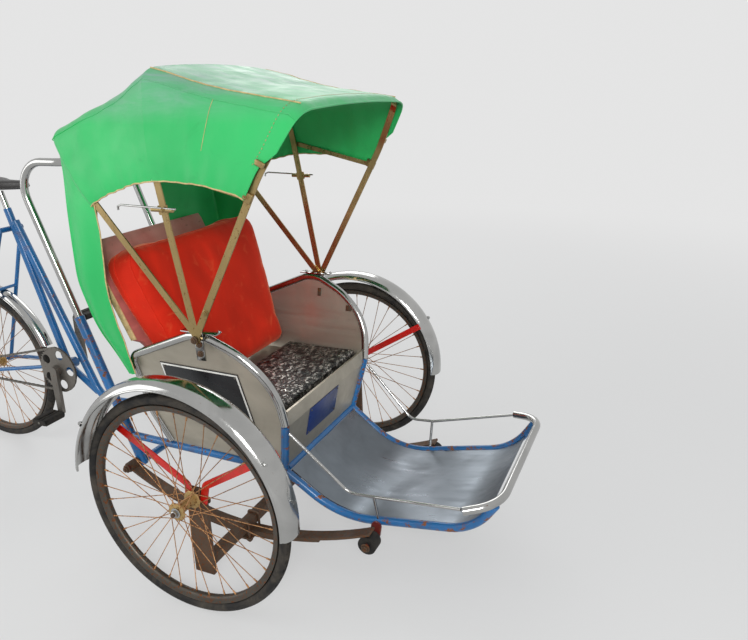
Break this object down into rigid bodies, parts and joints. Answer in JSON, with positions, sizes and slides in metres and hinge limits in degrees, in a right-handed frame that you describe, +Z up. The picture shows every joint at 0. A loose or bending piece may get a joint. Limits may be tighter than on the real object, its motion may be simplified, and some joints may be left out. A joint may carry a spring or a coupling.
{
  "type": "cycle rickshaw",
  "caption": "Three-wheeled cycle rickshaw with a hooded passenger carriage between the front wheels and a driver's cycle frame that swings behind it to steer.",
  "frame": {"origin": "on the floor below the middle of the bounding box", "axes": "+X forward, +Y to the vehicle's left, +Z up"},
  "size_m": [2.597, 1.214, 1.4643],
  "materials": {
    "blue_paint": "gloss, worn",
    "red_paint": "gloss",
    "chrome": "polished, lightly pitted",
    "stainless": "satin sheet",
    "bow_metal": "dull",
    "spring_steel": "worn paint",
    "spokes": "rusted",
    "rims": "dull",
    "tyre": "matte",
    "roller": "matte",
    "green_cloth": "coated cloth",
    "red_cloth": "velour",
    "seat_cover": "patterned vinyl",
    "board": "faded paint",
    "saddle": "worn",
    "drive": "oily",
    "pedal": "matte"
  },
  "bodies": {
    "carriage": {"side_frame_right": "blue_paint", "side_frame_left": "blue_paint", "steering_pin": "blue_paint", "front_cross_tube": "blue_paint", "arm_rail_right": "chrome", "arm_rail_left": "chrome", "side_panel_right": "stainless", "side_panel_left": "stainless", "seat_deck": "stainless", "seat_front_panel": "stainless", "seat_pad": "seat_cover", "back_board": "board", "back_cushion": "red_cloth", "footboard": "stainless", "front_bar": "chrome", "guard_rods": "chrome", "axle_beam": "spring_steel", "leaf_springs": "spring_steel", "spring_hangers": "red_paint", "spring_rollers": "roller", "mudguard_right": "chrome", "mudguard_left": "chrome", "mudguard_stays": "red_paint", "hood_brackets": "bow_metal", "rear_bow": "bow_metal", "rear_curtain": "green_cloth", "hood_cloth_rear": "green_cloth", "handlebar": "chrome"},
    "hood_middle": {"middle_bow": "bow_metal", "hood_cloth_front": "green_cloth"},
    "hood_front": {"front_bow": "bow_metal"},
    "wheel_right": {"tyre_right": "tyre", "rim_right": "rims", "hub_right": "spokes"},
    "wheel_left": {"tyre_left": "tyre", "rim_left": "rims", "hub_left": "spokes"},
    "wheel_rear": {"tyre_rear": "tyre", "rim_rear": "rims", "hub_rear": "spokes"},
    "driver_frame": {"rear_frame": "blue_paint", "rear_stays": "blue_paint", "rear_mudguard": "chrome", "seat_post": "chrome", "saddle": "saddle", "chain": "drive"},
    "crank": {"crankset": "drive"},
    "pedal_right": {"pedal_right": "pedal"},
    "pedal_left": {"pedal_left": "pedal"}
  },
  "joints": [
    {"name": "steering", "type": "hinge", "parent": "carriage", "child": "driver_frame", "pos_m": [-0.01, 0, 0.28], "axis": [0, 0, 1], "range_deg": [-35, 35]},
    {"name": "wheel_right_spin", "type": "hinge", "parent": "carriage", "child": "wheel_right", "pos_m": [0.4955, -0.555, 0.33], "axis": [0, 1, 0], "continuous": true},
    {"name": "wheel_left_spin", "type": "hinge", "parent": "carriage", "child": "wheel_left", "pos_m": [0.4955, 0.555, 0.33], "axis": [0, 1, 0], "continuous": true},
    {"name": "wheel_rear_spin", "type": "hinge", "parent": "driver_frame", "child": "wheel_rear", "pos_m": [-0.9345, 0, 0.33], "axis": [0, 1, 0], "continuous": true},
    {"name": "crank_spin", "type": "hinge", "parent": "driver_frame", "child": "crank", "pos_m": [-0.5055, 0, 0.384], "axis": [0, 1, 0], "continuous": true},
    {"name": "pedal_right_spin", "type": "hinge", "parent": "crank", "child": "pedal_right", "pos_m": [-0.5055, -0.135, 0.214], "axis": [0, 1, 0], "continuous": true},
    {"name": "pedal_left_spin", "type": "hinge", "parent": "crank", "child": "pedal_left", "pos_m": [-0.5055, 0.135, 0.554], "axis": [0, 1, 0], "continuous": true},
    {"name": "hood_middle_fold", "type": "hinge", "parent": "carriage", "child": "hood_middle", "pos_m": [0.4415, 0, 0.735], "axis": [0, 1, 0], "range_deg": [-20, 0], "deforming": ["hood_cloth_rear"]},
    {"name": "hood_front_fold", "type": "hinge", "parent": "hood_middle", "child": "hood_front", "pos_m": [0.4415, 0, 0.735], "axis": [0, 1, 0], "range_deg": [-28, 0], "deforming": ["hood_cloth_front"]}
  ],
  "couplings": [
    {"joint": "hood_front_fold", "follows": "hood_middle_fold", "ratio": 1.4}
  ]
}
